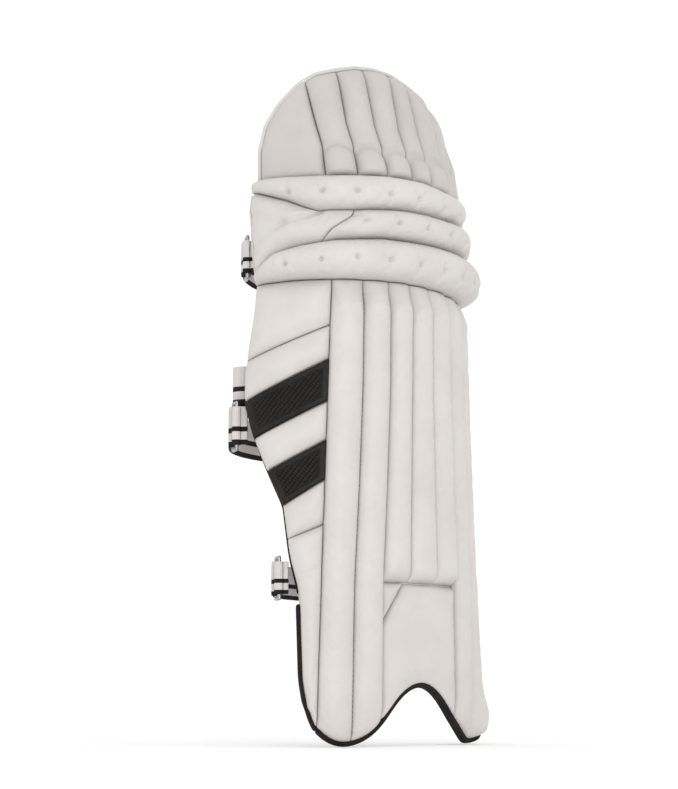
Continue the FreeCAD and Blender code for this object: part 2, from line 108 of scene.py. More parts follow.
class Cad:
    """Reads where a CAD node's sides are, as arc lengths at a height."""

    def __init__(self, node):
        me = frame["nodes"][node].data
        co = np.array([v.co for v in me.vertices]) / MM
        key = {}
        same = np.array([key.setdefault(tuple(np.round(c, 2)), len(key)) for c in co])
        first = np.zeros(len(key), int)
        first[same[::-1]] = np.arange(len(co))[::-1]
        self.co = co[first]
        self.edges = np.unique(np.sort(same[np.array([e.vertices[:] for e in me.edges])], 1), axis=0)
        self.s = arc_of(self.co[:, 0], self.co[:, 1], self.co[:, 2])
        parent = np.arange(len(self.co))
        while True:                       # join the pieces of each solid
            low_end = np.minimum(parent[self.edges[:, 0]], parent[self.edges[:, 1]])
            before = parent.copy()
            np.minimum.at(parent, self.edges[:, 0], low_end)
            np.minimum.at(parent, self.edges[:, 1], low_end)
            parent = parent[parent]
            if (before == parent).all():
                break
        self.parts = []                   # a hollow solid's inside belongs with its outside
        for i in sorted(np.unique(parent), key=lambda i: self.s[parent == i].mean()):
            mine = parent == i
            if self.parts and self.s[mine].mean() - self.s[self.parts[-1]].mean() < APART:
                self.parts[-1] = self.parts[-1] | mine
            else:
                self.parts.append(mine)

    def span(self, z, part=0):
        keep = self.parts[part][self.edges[:, 0]]
        e = self.edges[keep]
        za, zb = self.co[e[:, 0], 2], self.co[e[:, 1], 2]
        hit = (za - z) * (zb - z) <= 0
        e, za, zb = e[hit], za[hit], zb[hit]
        f = np.where(np.abs(zb - za) < 1e-6, 0.5, (z - za) / np.where(np.abs(zb - za) < 1e-6, 1, zb - za))
        p = self.co[e[:, 0]] * (1 - f)[:, None] + self.co[e[:, 1]] * f[:, None]
        s = arc_of(p[:, 0], p[:, 1], p[:, 2])
        return s.min(), s.max()

    def sides(self, z0, z1, part=0, n=24):
        """Functions of z giving the left and right side."""
        zs = np.linspace(z0, z1, n)
        rows = np.array([self.span(z, part) for z in zs])
        return (lambda z: np.interp(z, zs, rows[:, 0])), (lambda z: np.interp(z, zs, rows[:, 1]))


# ---- small maths ----------------------------------------------------------
def near_edge(d, r):
    """0 at a border, 1 at distance r or more from it, rounded like a quarter circle."""
    q = np.clip(d / r, 0, 1)
    return np.sqrt(np.clip(1 - (1 - q) ** 2, 0, 1))


def soft_edge(d, r, ease=0.16):
    """The same, without the upright wall at the border: the valley beside it opens out."""
    low_end = near_edge(ease, 1.0)
    return (near_edge(np.clip(d / r, 0, 1) + ease, 1.0) - low_end) / (1 - low_end)


def line_distance(s, z, line):
    """Distance to a polyline of (s, z) points."""
    best = np.full(np.shape(s), 1e9)
    for (s0, z0), (s1, z1) in zip(line, line[1:]):
        dx, dz = s1 - s0, z1 - z0
        f = np.clip(((s - s0) * dx + (z - z0) * dz) / (dx * dx + dz * dz), 0, 1)
        best = np.minimum(best, np.hypot(s - s0 - f * dx, z - z0 - f * dz))
    return best


def groove(d, width, depth):
    return depth * np.exp(-(d / width) ** 2)


def ripple(s, z, scale_s, scale_z, seed=0.0):
    """Soft, seeded unevenness of stuffed leather, about -1 to 1."""
    flat = np.stack([np.ravel(s) / scale_s, np.ravel(z) / scale_z], -1)
    out = [noise.noise(Vector((a, b, seed))) for a, b in flat]
    return np.array(out).reshape(np.shape(s)) * 1.6


# ---- materials -------------------------------------------------------------
def new_material(name, color, rough, **extra):
    m = bpy.data.materials.new(name)
    m.use_nodes = True
    b = m.node_tree.nodes["Principled BSDF"]
    b.inputs["Base Color"].default_value = (*color, 1)
    b.inputs["Roughness"].default_value = rough
    for k, v in extra.items():
        b.inputs[k.replace("_", " ")].default_value = v
    return m, m.node_tree.nodes, m.node_tree.links, b


def tex(nodes, kind, **values):
    n = nodes.new(kind)
    for k, v in values.items():
        if k in n.inputs:
            n.inputs[k].default_value = v
        else:
            setattr(n, k, v)
    return n


def vary(nodes, links, coord, scale, dark, light, detail=4.0):
    """Colour that drifts between two close tones."""
    n = tex(nodes, "ShaderNodeTexNoise", Scale=scale, Detail=detail, Roughness=0.6)
    links.new(coord, n.inputs["Vector"])
    ramp = nodes.new("ShaderNodeValToRGB")
    ramp.color_ramp.elements[0].position, ramp.color_ramp.elements[1].position = 0.3, 0.72
    ramp.color_ramp.elements[0].color = (*dark, 1)
    ramp.color_ramp.elements[1].color = (*light, 1)
    links.new(n.outputs["Fac"], ramp.inputs["Fac"])
    return ramp.outputs["Color"]


def bump(nodes, links, height, strength, distance, before=None):
    n = nodes.new("ShaderNodeBump")
    n.inputs["Strength"].default_value = strength
    n.inputs["Distance"].default_value = distance
    links.new(height, n.inputs["Height"])
    if before is not None:
        links.new(before, n.inputs["Normal"])
    return n.outputs["Normal"]


def leather(name, dark, light, rough=0.46, grain=0.35, shine=0.4):
    m, nodes, links, b = new_material(name, light, rough)
    b.inputs["Specular IOR Level"].default_value = shine
    co = nodes.new("ShaderNodeTexCoord").outputs["Object"]
    links.new(vary(nodes, links, co, 22.0, dark, light), b.inputs["Base Color"])
    pores = tex(nodes, "ShaderNodeTexVoronoi", Scale=1150.0, feature="DISTANCE_TO_EDGE")
    folds = tex(nodes, "ShaderNodeTexNoise", Scale=130.0, Detail=5.0, Roughness=0.62, Distortion=0.8)
    for n in (pores, folds):
        links.new(co, n.inputs["Vector"])
    coarse = bump(nodes, links, folds.outputs["Fac"], 0.22, 0.0012)
    links.new(bump(nodes, links, pores.outputs["Distance"], grain, 0.0003, coarse), b.inputs["Normal"])
    rr = nodes.new("ShaderNodeMapRange")
    rr.inputs["To Min"].default_value, rr.inputs["To Max"].default_value = rough - 0.06, rough + 0.09
    links.new(folds.outputs["Fac"], rr.inputs["Value"])
    links.new(rr.outputs["Result"], b.inputs["Roughness"])
    return m


def woven(name, dark, light, pitch_mm=1.1, rough=0.85, strength=0.5, shine=0.3):
    """Plain weave from two crossed waves in the piece's own UV, which is in millimetres / 100."""
    m, nodes, links, b = new_material(name, light, rough)
    b.inputs["Specular IOR Level"].default_value = shine
    uv = nodes.new("ShaderNodeUVMap").outputs["UV"]
    co = nodes.new("ShaderNodeTexCoord").outputs["Object"]
    scale = 100.0 / pitch_mm
    waves = []
    for direction in ("X", "Y"):
        w = tex(nodes, "ShaderNodeTexWave", Scale=scale / 3.0, bands_direction=direction, Distortion=0.6)
        w.inputs["Detail Scale"].default_value = 2.0
        links.new(uv, w.inputs["Vector"])
        waves.append(w.outputs["Fac"])
    both = nodes.new("ShaderNodeMath")
    both.operation = "MULTIPLY"
    links.new(waves[0], both.inputs[0])
    links.new(waves[1], both.inputs[1])
    tone = vary(nodes, links, co, 60.0, dark, light)
    links.new(tone, b.inputs["Base Color"])
    links.new(bump(nodes, links, both.outputs[0], strength, 0.0004), b.inputs["Normal"])
    return m


WHITE = leather("pu_white", (0.565, 0.535, 0.510), (0.615, 0.585, 0.560))
WHITE_SIDE = leather("pu_white_side", (0.55, 0.52, 0.495), (0.60, 0.57, 0.545), rough=0.5)
# The hat's leather is the same white leather painted about 14% darker: painted shade for the hat, which tilts back
# from the light. It is not a different leather.
HAT_WHITE_PAINTED_SHADE = leather("pu_white_hat_painted_shade", (0.485, 0.457, 0.435), (0.53, 0.502, 0.48), rough=0.5)
LINING = woven("lining_cloth", (0.56, 0.56, 0.55), (0.595, 0.59, 0.585), 1.6)
BLACK = woven("binding_tape", (0.010, 0.009, 0.009), (0.020, 0.018, 0.018), 0.9, 0.75, shine=0.12)
NET = leather("spacer_net", (0.010, 0.009, 0.008), (0.022, 0.019, 0.018), rough=0.45, grain=0.2, shine=0.14)
WEB_WHITE = woven("web_white", (0.58, 0.55, 0.545), (0.66, 0.63, 0.625), 1.4, 0.8, 0.8)
WEB_BLACK = woven("web_black", (0.010, 0.009, 0.010), (0.020, 0.018, 0.019), 1.4, 0.8, 0.8, shine=0.12)
WEB_GREY = woven("web_pad", (0.50, 0.495, 0.49), (0.55, 0.545, 0.54), 1.8, 0.9, 0.5)
THREAD = woven("thread", (0.27, 0.25, 0.24), (0.36, 0.34, 0.33), 0.5, 0.7)


def metal_material():
    m, nodes, links, b = new_material("ring_metal", (0.36, 0.36, 0.37), 0.34, Metallic=1.0)
    co = nodes.new("ShaderNodeTexCoord").outputs["Object"]
    scratch = tex(nodes, "ShaderNodeTexNoise", Scale=900.0, Detail=3.0)
    links.new(co, scratch.inputs["Vector"])
    links.new(bump(nodes, links, scratch.outputs["Fac"], 0.12, 0.0002), b.inputs["Normal"])
    links.new(vary(nodes, links, co, 140.0, (0.30, 0.30, 0.31), (0.40, 0.40, 0.41)), b.inputs["Base Color"])
    return m


def cane_material():
    m, nodes, links, b = new_material("cane_wood", (0.62, 0.46, 0.26), 0.6)
    co = nodes.new("ShaderNodeTexCoord").outputs["Object"]
    grain = nodes.new("ShaderNodeMapping")
    grain.inputs["Scale"].default_value = (900, 900, 30)
    links.new(co, grain.inputs["Vector"])
    fibre = tex(nodes, "ShaderNodeTexNoise", Scale=1.0, Detail=3.0)
    links.new(grain.outputs["Vector"], fibre.inputs["Vector"])
    links.new(bump(nodes, links, fibre.outputs["Fac"], 0.3, 0.0004), b.inputs["Normal"])
    links.new(vary(nodes, links, co, 90.0, (0.50, 0.36, 0.18), (0.68, 0.52, 0.30)), b.inputs["Base Color"])
    return m


METAL, CANE = metal_material(), cane_material()

# ---- mesh builders ----------------------------------------------------------
SUBDIVIDE = 1


def add_object(name, verts, faces, mats, face_mats=None, uv=None, level=SUBDIVIDE):
    me = bpy.data.meshes.new(name)
    me.from_pydata([tuple(v) for v in np.asarray(verts) * MM], [], [tuple(f) for f in faces])
    for m in mats:
        me.materials.append(m)
    if face_mats is not None:
        me.polygons.foreach_set("material_index", np.asarray(face_mats, np.int32))
    me.polygons.foreach_set("use_smooth", np.ones(len(me.polygons), bool))
    if uv is not None:
        layer = me.uv_layers.new(name="UVMap")
        idx = np.zeros(len(me.loops), np.int32)
        me.loops.foreach_get("vertex_index", idx)
        layer.data.foreach_set("uv", (np.asarray(uv, float)[idx] / 100.0).ravel())
    me.update()
    ob = bpy.data.objects.new(name, me)
    bpy.context.scene.collection.objects.link(ob)
    if level:
        mod = ob.modifiers.new("Subdivision", "SUBSURF")
        mod.levels = mod.render_levels = level
    return ob


def grid_faces(nu, nv, offset=0, flip=False):
    i, j = np.meshgrid(np.arange(nu - 1), np.arange(nv - 1), indexing="ij")
    a = offset + i * nv + j
    quad = np.stack([a, a + nv, a + nv + 1, a + 1], -1).reshape(-1, 4)
    return quad[:, ::-1] if flip else quad


def pad(name, s_lo, s_hi, z_lo, z_hi, front, back, mats, step=3.0, level=SUBDIVIDE):
    """Closed padded body over a patch of the face.
    s_lo, s_hi: sides as functions of z. z_lo, z_hi: ends as functions of s.
    front(s, z, d): outer height, d the distances to the four borders. back: inner height."""
    zm = 0.5 * (z_lo(0.0) + z_hi(0.0)) if callable(z_lo) else 0.0
    mid_s = 0.5 * (s_lo(zm) + s_hi(zm))
    length = float(z_hi(mid_s) - z_lo(mid_s))
    zs = np.linspace(z_lo(mid_s), z_hi(mid_s), 9)
    width = float(np.max(s_hi(zs) - s_lo(zs)))
    nu, nv = max(6, int(width / step) + 1), max(6, int(length / step) + 1)
    ease = lambda n: 0.5 - 0.5 * np.cos(np.linspace(0, np.pi, n))
    mix = 0.35
    u = (1 - mix) * np.linspace(0, 1, nu) + mix * ease(nu)
    v = (1 - mix) * np.linspace(0, 1, nv) + mix * ease(nv)
    U, Vv = np.meshgrid(u, v, indexing="ij")
    S = s_lo(zm) + (s_hi(zm) - s_lo(zm)) * U
    for _ in range(8):
        Z = z_lo(S) + (z_hi(S) - z_lo(S)) * Vv
        S = s_lo(Z) + (s_hi(Z) - s_lo(Z)) * U
    d = (S - s_lo(Z), s_hi(Z) - S, Z - z_lo(S), z_hi(S) - Z)
    T = front(S, Z, d)
    B = back(S, Z, d) if callable(back) else np.full(S.shape, float(back))
    outer, inner = pos(S, Z, T), pos(S, Z, B)
    n = nu * nv
    faces = [grid_faces(nu, nv), grid_faces(nu, nv, n, True)]
    idx = np.arange(n).reshape(nu, nv)
    loop = np.concatenate([idx[:, 0], idx[-1, 1:], idx[-2::-1, -1], idx[0, -2:0:-1]])
    nxt = np.roll(loop, -1)
    faces.append(np.stack([loop, loop + n, nxt + n, nxt], -1))
    counts = [len(f) for f in faces]
    kinds = np.repeat([0, min(1, len(mats) - 1), min(2, len(mats) - 1)], counts)
    uv = np.stack([S, Z], -1).reshape(-1, 2)
    ob = add_object(name, np.concatenate([outer.reshape(-1, 3), inner.reshape(-1, 3)]),
                    np.concatenate(faces), mats, kinds, np.concatenate([uv, uv]), level)
    ob["grid"] = [nu, nv]
    return ob


def const(x):
    return lambda q: np.full(np.shape(q), float(x)) if np.ndim(q) else float(x)


def by_table(xs, ys):
    return lambda q: np.interp(q, xs, ys)


def sweep(name, path, profile, mat, lift=0.0, level=SUBDIVIDE):
    """Strip swept along (s, z) points of the face; profile points are (inward distance, t)."""
    path = np.asarray(path, float)
    d = np.gradient(path, axis=0)
    d /= np.linalg.norm(d, axis=1)[:, None]
    inward = np.stack([-d[:, 1], d[:, 0]], -1)
    run = np.concatenate([[0], np.cumsum(np.linalg.norm(np.diff(path, axis=0), axis=1))])
    prof = np.asarray(profile, float)
    n, m = len(path), len(prof)
    S = path[:, 0:1] + inward[:, 0:1] * prof[:, 0]
    Z = path[:, 1:2] + inward[:, 1:2] * prof[:, 0]
    verts = pos(S, Z, prof[:, 1] + np.broadcast_to(lift, n)[:, None]).reshape(-1, 3)
    around = np.concatenate([[0], np.cumsum(np.linalg.norm(np.diff(prof, axis=0), axis=1))])
    uv = np.stack(np.broadcast_arrays(run[:, None], around[None, :]), -1).reshape(-1, 2)
    faces = []
    for i in range(n - 1):
        for j in range(m):
            k = (j + 1) % m
            faces.append((i * m + j, i * m + k, (i + 1) * m + k, (i + 1) * m + j))
    faces.append(tuple(range(m - 1, -1, -1)))
    faces.append(tuple((n - 1) * m + j for j in range(m)))
    return add_object(name, verts, faces, [mat], None, uv, level)


def oval(width, thick, d0=0.0, t0=0.0, n=10):
    q = np.linspace(0, 2 * np.pi, n, endpoint=False)
    return np.stack([d0 + width / 2 * np.cos(q), t0 + thick / 2 * np.sin(q)], -1)


def resample(path, step):
    path = np.asarray(path, float)
    run = np.concatenate([[0], np.cumsum(np.linalg.norm(np.diff(path, axis=0), axis=1))])
    n = max(2, int(round(run[-1] / step)) + 1)
    q = np.linspace(0, run[-1], n)
    return np.stack([np.interp(q, run, path[:, k]) for k in range(path.shape[1])], -1)


def curve_through(points, n=120):
    """Smooth Catmull-Rom line through points."""
    p = np.asarray(points, float)
    p = np.concatenate([[2 * p[0] - p[1]], p, [2 * p[-1] - p[-2]]])
    out = []
    per = max(2, n // (len(p) - 3))
    for i in range(len(p) - 3):
        a, b, c, d = p[i:i + 4]
        for q in np.linspace(0, 1, per, endpoint=False):
            out.append(0.5 * (2 * b + (c - a) * q + (2 * a - 5 * b + 4 * c - d) * q * q
                              + (3 * b - a - 3 * c + d) * q ** 3))
    out.append(p[-2])
    return np.array(out)


def stitches(name, lines, mat, pitch=5.0, length=3.2, thick=0.5):
    """Rows of thread along lists of (s, z, t) points, as short raised capsules."""
    verts, faces = [], []
    ring = 6
    for line in lines:
        pts = resample(np.asarray(line, float), pitch)
        xyz = pos(pts[:, 0], pts[:, 1], pts[:, 2])
        up = pos(pts[:, 0], pts[:, 1], pts[:, 2] + 1) - xyz
        tangent = np.gradient(xyz, axis=0)
        tangent /= np.linalg.norm(tangent, axis=1)[:, None]
        for p, a, n in zip(xyz[1:-1], tangent[1:-1], up[1:-1]):
            side = np.cross(a, n)
            base = len(verts)
            for f, w in ((-0.5, 0.25), (-0.32, 0.9), (0.0, 1.0), (0.32, 0.9), (0.5, 0.25)):
                drop = -abs(f) * 1.1 * thick
                for k in range(ring):
                    q = 2 * math.pi * k / ring
                    verts.append(p + a * f * length + n * (drop + thick * 0.45 * w * math.sin(q))
                                 + side * thick * 0.6 * w * math.cos(q))
            for i in range(4):
                for k in range(ring):
                    k2 = (k + 1) % ring
                    faces.append((base + i * ring + k, base + i * ring + k2,
                                  base + (i + 1) * ring + k2, base + (i + 1) * ring + k))
            faces.append(tuple(base + k for k in range(ring))[::-1])
            faces.append(tuple(base + 4 * ring + k for k in range(ring)))
    return add_object(name, verts, faces, [mat], None, np.asarray(verts)[:, :2], level=0)


PITCH = 28.5


def dimple_row(first_s, zs, count):
    s = first_s + PITCH * np.arange(count)
    return list(zip(s, zs(s)))


DIMPLES = {
    "lower": dimple_row(-128, by_table([-128, -98, -67, 17, 130], [443.5, 448, 451, 447.5, 447]), 9),
    "mid": dimple_row(-66, by_table([-66, 16, 55, 130], [486, 483, 480, 481]), 7),
    "upper": dimple_row(-131, by_table([-131, -70, -17, 6, 130], [511.5, 512.5, 510.5, 507, 508]), 9),
}
PADS = []                        # padded pieces and which of their vertices aren't sewn down


def stuffed(ob):
    """Free to swell: the outer face away from its seams and its tufting."""
    nu, nv = ob["grid"]
    loose = np.zeros((2, nu, nv), bool)
    loose[0, 2:-2, 2:-2] = True
    loose = loose.ravel()
    co = np.array([v.co for v in ob.data.vertices]) / MM
    for spots in DIMPLES.values():
        for a, b in spots:
            if ob.name.startswith("knee_roll"):
                at = pos(a, b, 12.0)
                loose &= np.hypot(*(co - at)[:, [0, 2]].T) > 2.6
    PADS.append((ob, loose))


def put(ob, body, nodes=(), fill=None):
    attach(ob, body)
    if fill is not None and "grid" in ob:
        stuffed(ob)
    if nodes:
        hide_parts(*nodes)
    return ob


# ---- where the seams are, read from the frame --------------------------------
RIB_NODES = [("rib_cover_1", 0), ("rib_cover_2", 0), ("rib_cover_short", 0), ("rib_cover_short", 1),
             ("rib_cover_short", 2), ("rib_cover_6", 0), ("rib_cover_7", 0)]
cad = {}
for node, _ in RIB_NODES:
    cad.setdefault(node, Cad(node))
SHORT_END = low("rib_cover_short").z
rib_sides = []
for node, part in RIB_NODES:
    z0 = SHORT_END + 2.5 if node == "rib_cover_short" else 62.0
    rib_sides.append(cad[node].sides(z0, KNEE_Z - 4, part))


def seam_between(k):
    """Seam between rib k - 1 and rib k, extended down to the foot."""
    zs = np.linspace(62, KNEE_Z - 4, 30)
    a, b = rib_sides[k - 1][1], rib_sides[k][0]
    mid = (a(zs) + b(zs)) / 2
    slope = (mid[4] - mid[0]) / (zs[4] - zs[0])
    return lambda z: np.where(np.asarray(z) < 62, mid[0] + slope * (np.asarray(z, float) - 62),
                              np.interp(z, zs, mid))


wing_cad = Cad("wing_board")
wing_z0, wing_z1 = low("wing_board").z + 0.5, high("wing_board").z - 0.5
wing_back, wing_hinge = wing_cad.sides(wing_z0, wing_z1, 0, 40)
flap_cad = Cad("side_flap")
flap_z0, flap_z1 = low("side_flap").z + 0.5, high("side_flap").z - 0.5
_, flap_back = flap_cad.sides(flap_z0, flap_z1, 0, 30)

seams = [wing_hinge] + [seam_between(k) for k in range(1, 7)]
seams.append(lambda z: rib_sides[6][1](np.clip(z, 62, None)) + 0.5 + 0.03 * np.clip(62 - z, 0, None))

# the foot's edge, from the outer face of its binding
foot = Cad("foot_binding")


def foot_edge(n=70):
    xs = np.linspace(-96, 119, n)
    za, zb = foot.co[foot.edges[:, 0]], foot.co[foot.edges[:, 1]]
    out = []
    for x in xs:
        hit = (za[:, 0] - x) * (zb[:, 0] - x) <= 0
        a, b = za[hit], zb[hit]
        f = np.where(np.abs(b[:, 0] - a[:, 0]) < 1e-6, 0.5, (x - a[:, 0]) / np.where(
            np.abs(b[:, 0] - a[:, 0]) < 1e-6, 1, b[:, 0] - a[:, 0]))
        z = a[:, 2] * (1 - f) + b[:, 2] * f
        out.append((x, z.min()))
    return np.array(out)


edge_xz = foot_edge()
edge_s = radius(edge_xz[:, 1]) * np.arcsin(edge_xz[:, 0] / radius(edge_xz[:, 1]))
# from the hinge seam to the binding, and on up the wing's back edge
LOBE_SIDE = [(-108.0, 14.0), (-103.8, 9.8)]
edge_s = np.concatenate([[p[0] for p in LOBE_SIDE], edge_s])
edge_xz = np.concatenate([np.array(LOBE_SIDE), edge_xz])


def foot_z(s):
    return np.interp(s, edge_s, edge_xz[:, 1])


edge_line = resample(np.stack([edge_s, edge_xz[:, 1]], -1), 3.0)
run = np.gradient(edge_line, axis=0)
run /= np.linalg.norm(run, axis=1)[:, None]
taped = edge_line + 4.3 * np.stack([-run[:, 1], run[:, 0]], -1)
taped = taped[np.argsort(taped[:, 0])]


def above_tape(s):
    """Lower end of the covers, an even tape's width inside the edge."""
    return np.interp(s, taped[:, 0], taped[:, 1])


LOW_BOT = by_table([-170, -159, -126, -93, -22, 27, 57, 130], [429.5, 430, 432, 433, 434, 433, 432, 431.6])


# ---- shells: the foam board with its outer cloth and inner lining ---------------
SHELL_FRONT, SHELL_BACK = -0.6, -11.4    # faces of the foam board with its cloth
COLLECTED = []


def bend(ob, k, nodes=(), fill=None):
    """Hides the given nodes, marks the cover free to swell when fill is given, and collects the piece with its
    number k; the piece is not attached to any body.
    """
    if nodes:
        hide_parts(*nodes)
    if fill is not None:
        stuffed(ob)
    COLLECTED.append((ob, k))
    return ob


def shell(name, s_lo, s_hi, z_lo, z_hi, step=7.0, foot=0.0):
    """foot: how much thinner the shell gets towards its lower end."""
    flat = lambda s, z, d: SHELL_FRONT - 2.5 + 2.5 * near_edge(np.minimum(d[0], d[1]), 3.0)
    back = lambda s, z, d: SHELL_BACK + foot * (1 - near_edge(d[2], 24)) + 1.5 - 1.5 * near_edge(
        np.minimum(np.minimum(d[0], d[1]), np.minimum(d[2], d[3])), 3.0)
    return pad(name, s_lo, s_hi, z_lo, z_hi, flat, back, [WHITE, LINING, WHITE], step=step)


def shin_z_lo(s):
    return above_tape(s) - 0.8


WING_FOOT = const(19.0)
WING_TIP = [(-107.6, 13.4), (-110.8, 18.6), (-113.9, 26.0), (-116.4, 34.0)]
tip_left = by_table([13.4, 18.6, 26.0, 34.0, 44.0], [-104.2, -107.4, -110.6, -113.2, -400.0])


def wing_left(z):
    """Back edge of the wing; it draws in a little under the knee and runs to a point at the foot."""
    back = wing_back(np.clip(z, wing_z0, wing_z1)) + 9.0 * smooth(z, 335, 425)
    return np.maximum(back, tip_left(z))


wing_right = lambda z: wing_hinge(np.clip(z, wing_z0, wing_z1))
put(shell("shin_shell", lambda z: seams[0](z) + 0.2, lambda z: seams[7](z), shin_z_lo,
          lambda s: LOW_BOT(s) - 0.3, 7.0, 7.4), "shin", ["shin_board", "shin_lining"])
put(shell("wing_shell", wing_left, lambda z: wing_right(z) - 0.2, WING_FOOT, lambda s: LOW_BOT(s) - 0.4,
          7.0, 4.4), "wing", ["wing_board", "wing_lining"])

# ---- shin ribs -----------------------------------------------------------------
RIB_HIGH = 13.6


def rib_height(z, z_end, short):
    """Full along the shin, pinched to a neck just under the knee."""
    neck = np.interp(z, [0, 60, 150, 400, 409, 420, 428, KNEE_Z],
                     [0.84, 0.96, 1, 1.02, 1.10, 0.80, 0.60, 0.52])
    if short:
        neck = neck * (0.25 + 0.75 * near_edge(z - z_end, 15))
    return RIB_HIGH * neck


def foot_swell(s, z, below):
    """The inner lobe's padding swells outward beside the foot."""
    tall = np.interp(z, [0, 34, 50, 62, 110, 165], [11.5, 11.5, 7.2, 5.4, 3.0, 0])
    return tall * smooth(s, 94, 118) * near_edge(below, 6)


def rib_front(k, short):
    def front(s, z, d):
        half = (d[0] + d[1]) / 2
        valley = 0.50 - 0.28 * smooth(z, 398, 424)
        low_end = 0.24 + 0.76 * near_edge(d[2], 22 if not short else 12)
        left = valley * (0.85 if k == 0 else 1.0)
        across = np.where(d[0] < d[1], left + (1 - left) * soft_edge(d[0], (0.55 if k == 0 else 0.95) * half),
                          valley + (1 - valley) * soft_edge(d[1], 0.95 * half))
        h = rib_height(z, SHORT_END, short) * across * low_end
        side = np.minimum(d[0], d[1])
        top = 0.55 + 0.45 * near_edge(d[3], 5)
        h = h * top + 0.30 * ripple(s, z, 26, 60, 3.1 * k) * near_edge(side, 8)
        if k == 6:
            h = h + foot_swell(s, z, d[2])
        return np.maximum(h, 0.5)
    return front


COVERS = {0: "rib_cover_1", 1: "rib_cover_2", 5: "rib_cover_6", 6: "rib_cover_7"}
for k in range(7):
    short = k in (2, 3, 4)
    z_lo = const(SHORT_END) if short else above_tape
    lo, hi = (lambda z, i=k: seams[i](z)), (lambda z, i=k: seams[i + 1](z))
    ob = pad("rib_%d" % (k + 1), lo, hi, z_lo, lambda s: LOW_BOT(s) - 0.3, rib_front(k, short), -0.5,
             [WHITE], step=2.4)
    nodes = [COVERS[k]] if k in COVERS else ["rib_cover_short"]
    nodes += ["rib_foam_short" if short else "rib_foam_long"]
    put(ob, "shin", nodes, 0.8)

# ---- instep --------------------------------------------------------------------
corner_lo, corner_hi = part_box("instep_corner")
c_s = [arc_of(corner_lo.x / MM, corner_lo.y / MM, corner_hi.z / MM), -19.0]
corner_z = [low("instep_corner").z, high("instep_corner").z]
c_line = by_table([seams[2](130.0) - 2, seams[2](130.0), c_s[1]], [corner_z[0], corner_z[0], corner_z[1]])


def instep_front(s, z, d):
    side = np.minimum(np.minimum(d[0], d[1]), d[3])
    h = 7.6 * (0.10 + 0.90 * near_edge(side, 13)) * (0.45 + 0.55 * near_edge(d[2], 22))
    return np.maximum(h + 0.35 * ripple(s, z, 38, 38, 7.0), 0.6)


put(pad("instep_pad", lambda z: seams[2](z) + 0.35, lambda z: seams[5](z) - 0.35,
        above_tape, lambda s: c_line(s) - 0.5, instep_front, -0.5, [WHITE]),
    "shin", ["instep_panel"], 0.6)


def corner_front(s, z, d):
    side = np.minimum(np.minimum(d[0], d[2]), d[3])
    return 0.6 + 4.6 * near_edge(side, 7)


put(pad("instep_inset", lambda z: seams[2](z) + 0.4, const(c_s[1]), lambda s: c_line(s) + 0.4,
        const(SHORT_END - 0.6), corner_front, -0.5, [WHITE_SIDE], step=2.0),
    "shin", ["instep_corner"], 0.5)

# ---- inner side flap --------------------------------------------------------------
def flap_front(s, z, d):
    """Flat edge of the face, swelling into a rounded pad beside the foot."""
    u = np.clip(d[0] / (d[0] + d[1] + 1e-9), 0, 1)
    h = np.interp(u, [0, 0.08, 0.25, 0.5, 0.75, 0.92, 1], [1.0, 3.6, 6.2, 6.6, 5.6, 2.2, -2.0])
    h = h * (0.4 + 0.6 * near_edge(np.minimum(d[2], d[3]), 12))
    swell = foot_swell(s, z, d[2]) * np.interp(u, [0, 0.6, 0.9, 1], [1, 1, 0.9, 0.4])
    return h + swell + 0.3 * ripple(s, z, 24, 50, 11.0)


put(pad("side_flap_pad", lambda z: seams[7](z) + 0.3, flap_back, above_tape,
        const(flap_z1), flap_front,
        lambda s, z, d: SHELL_BACK + 3.0 - 3.0 * near_edge(d[1], 6), [WHITE, LINING, WHITE]),
    "shin", ["side_flap"], 0.6)

# ---- bindings ----------------------------------------------------------------------
BIND_PROFILE = [(0.0, -3.4), (-0.1, -1.2), (0.0, 1.0), (0.9, 2.8), (2.6, 3.6), (4.6, 3.2), (5.4, 2.0),
                (5.4, -3.6), (4.2, -4.6), (1.2, -4.6)]
foot_path = resample(np.stack([edge_s, edge_xz[:, 1]], -1), 4.0)
put(sweep("foot_binding_tape", foot_path, BIND_PROFILE, BLACK, 8.5 * smooth(foot_path[:, 0], 97, 118)),
    "shin", ["foot_binding"])

wing_bind_z = np.arange(40.0, high("wing_binding").z, 5.0)
wing_path = np.concatenate([resample(WING_TIP, 4.0),
                            np.stack([wing_back(wing_bind_z) - 3.4, wing_bind_z], -1)])
WING_PROFILE = [(0.0, -6.6), (0.0, 0.4), (-1.0, 2.4), (-2.6, 3.2), (-4.6, 2.6), (-5.6, 1.4),
                (-5.6, -6.6), (-4.4, -8.0), (-1.2, -8.0)]
put(sweep("wing_binding_tape", wing_path, WING_PROFILE, BLACK), "wing", ["wing_binding"])

edge_z = np.append(np.arange(high("wing_binding").z + 4, 426.0, 5.0), 429.0)
edge_path = np.stack([wing_left(edge_z) - 0.6, edge_z], -1)
put(sweep("wing_edge_piping", edge_path, oval(1.8, 9.0, 0, -6.0), BLACK), "wing")

# ---- wing panels --------------------------------------------------------------------
wing_names = ["wing_panel_top", "wing_panel_upper", "wing_mesh_upper", "wing_panel_middle",
              "wing_mesh_lower", "wing_panel_lower", "wing_panel_ankle"]


def panel_line(node, top):
    """Slanting seam of a wing panel as a function of s, through its two corners."""
    c = Cad(node)
    z = c.co[:, 2]
    ends = []
    for near in (c.s < wing_back(z) + 1.5, c.s > wing_hinge(z) - 30.0):
        if ends:                          # the corner furthest round, at that end
            near &= c.s > wing_hinge(z) - (wing_hinge(z) - c.s)[near].min() - 2.5
        i = np.flatnonzero(near)[np.argmax(z[near]) if top else np.argmin(z[near])]
        ends.append((c.s[i], z[i]))
    (s_a, z_a), (s_b, z_b) = ends
    if s_b - s_a < 6.0:                   # the level foot of the wing
        return const(z_a)
    return lambda s: z_a + (z_b - z_a) * (np.asarray(s, float) - s_a) / (s_b - s_a)


ANKLE_CREASE = [(-124, 152), (-103, 163)]


